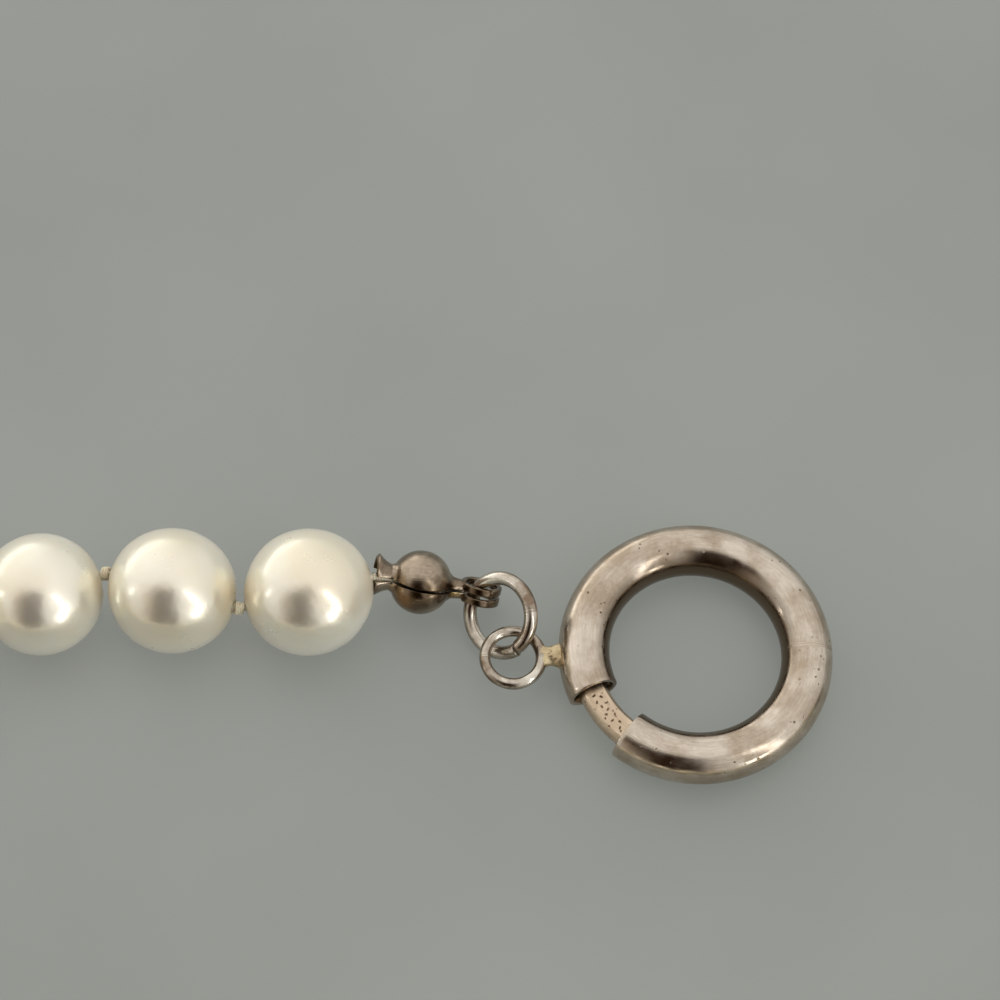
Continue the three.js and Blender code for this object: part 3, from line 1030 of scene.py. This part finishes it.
cup = model_cup()
if sum(v.co.y for v in cup.data.vertices) < 0:
    put_down(cup, Matrix.Rotation(math.pi, 4, "X"))
for bend, narrow in ((-1.9, 0.95), (-2.2, 0.95), (-2.5, 0.92)):
    only(cup)
    pick(lambda v: v.x < bend * MM)
    bpy.ops.transform.translate(value=(0, 0.03 * MM, 0))
    bpy.ops.transform.resize(value=(1, 1, narrow), center_override=(0, 0, 0))
    finish_edit()
put_down(cup, Matrix.Translation((0, SEAM / 2 * MM, 0)))
apply_modifier(cup, "SOLIDIFY", thickness=CUP_WALL * MM, offset=0)
apply_modifier(cup, "BEVEL", width=0.04 * MM, segments=2, angle_limit=math.radians(50))
print("cup:", len(cup.data.polygons), "faces")

# %% [markdown]
# The loop is one strip curled round, with its end resting on the neck. The other half is a mirror
# image, and a mirrored mesh has its faces inside out, so they are flipped.

# %% Its loop, and the other half
LOOP_AT = 3.35
LOOP_MIDDLE = 1.0
STRIP_WIDTH = 0.42
STRIP_THICK = 0.29


def model_loop():
    """The strip curled round Y, with its end lying on the neck."""
    start_clear()
    bpy.ops.mesh.primitive_plane_add(size=1 * MM, location=(-LOOP_MIDDLE * MM, 0, 0))
    loop = bpy.context.object
    put_down(loop)
    bpy.ops.object.mode_set(mode="EDIT")
    bpy.ops.mesh.select_all(action="SELECT")
    strip = (STRIP_THICK, STRIP_WIDTH, 1)
    bpy.ops.transform.resize(value=strip, center_override=(-LOOP_MIDDLE * MM, 0, 0))
    bpy.ops.mesh.spin(steps=40, angle=math.radians(338), center=(0, 0, 0), axis=(0, 1, 0))
    finish_edit()
    outward_normals(loop)
    apply_modifier(loop, "BEVEL", width=0.07 * MM, segments=3, angle_limit=math.radians(50))
    put_down(loop, Matrix.Translation((LOOP_AT * MM, (0.1 + STRIP_WIDTH / 2) * MM, 0)))
    return loop


half = joined("calotte_half", cup, model_loop())
other_half = copy_of(half, "calotte_other_half")
put_down(other_half, Matrix.Diagonal((1, -1, 1, 1)))
only(other_half)
bpy.ops.object.mode_set(mode="EDIT")
bpy.ops.mesh.select_all(action="SELECT")
bpy.ops.mesh.flip_normals()
finish_edit()
calotte_model = joined("calotte_model", half, other_half)
smooth(calotte_model, 40)

# where the soldering torch left the metal brown, and where its gilding is left, in mm
PATCHES = {"scorched": ((-0.95, -0.9, 1.15), 0.75), "gilded": ((1.85, -0.2, 0.4), 0.35)}
for mark, (middle, reach) in PATCHES.items():
    amounts = calotte_model.data.attributes.new(mark, "FLOAT", "POINT")
    for amount, vertex in zip(amounts.data, calotte_model.data.vertices):
        away = (vertex.co / MM - Vector(middle)).length
        amount.value = 0.8 * max(0.0, 1 - away / reach)

# %% Place both calottes
for node, place in calotte_places.items():
    calotte = copy_of(calotte_model, "finished_" + node)
    put_down(calotte, place)
    dress(calotte, dark_silver, "strand", "dark_silver", node)
bpy.data.objects.remove(calotte_model)
print(len(calotte_places), "calottes")

# %% [markdown]
# ## Jump ring and catch ring
# The jump ring was twisted open and pushed back, so its ends pass each other by a little. A Screw
# modifier turns a circle into exactly that: nearly one turn, with a small rise. The catch ring is
# closed, and its joint is soldered. Both lie tilted, so each gets the way it faces, and its middle is
# the middle of the frame's ring.

# %% Wire rings
WIRE = 0.38
WIRE_RING = 2.06
WIRE_STEPS = 80
CUT_FROM, CUT_TO = 290, 298  # degrees, where the cut begins and ends
ENDS_APART = 0.3
RINGS_FACE = {"jump_ring": (-0.56, -0.37, 0.74), "catch_ring": (-0.1135, 0.044, 0.9926)}


def ring_spot(node):
    low, high = (Vector(corner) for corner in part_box(node))
    return facing(Vector(RINGS_FACE[node]).normalized(), (low + high) / 2)


def model_jump_ring():
    start_clear()
    bpy.ops.mesh.primitive_circle_add(
        vertices=24,
        radius=WIRE * MM,
        location=(WIRE_RING * MM, 0, ENDS_APART / 2 * MM),
        rotation=(math.pi / 2, 0, 0),
    )
    ring = bpy.context.object
    put_down(ring)
    turn = CUT_FROM + 360 - CUT_TO
    settings = {"angle": math.radians(turn), "screw_offset": -ENDS_APART * MM}
    settings.update(steps=WIRE_STEPS, render_steps=WIRE_STEPS, use_merge_vertices=False)
    apply_modifier(ring, "SCREW", **settings)
    return ring


jump_ring = model_jump_ring()
close_ends(jump_ring, 0, CUT_FROM - CUT_TO)
outward_normals(jump_ring)
apply_modifier(jump_ring, "BEVEL", width=0.07 * MM, segments=3, angle_limit=math.radians(60))
put_down(jump_ring, Matrix.Rotation(math.radians(CUT_TO), 4, "Z"))
unroll(jump_ring, WIRE_RING)
smooth(jump_ring, 40)
put_down(jump_ring, ring_spot("jump_ring"))
jump_ring.name = "finished_jump_ring"
dress(jump_ring, wire_silver, "strand", "silver", "jump_ring")

catch_ring = swept("finished_catch_ring", WIRE, WIRE_RING, 0, 360, WIRE_STEPS, 24)
outward_normals(catch_ring)
unroll(catch_ring, WIRE_RING)
smooth(catch_ring, 60)
put_down(catch_ring, ring_spot("catch_ring"))
dress(catch_ring, wire_silver, "strand", "silver", "catch_ring")
print("rings:", len(jump_ring.data.polygons) + len(catch_ring.data.polygons), "faces")
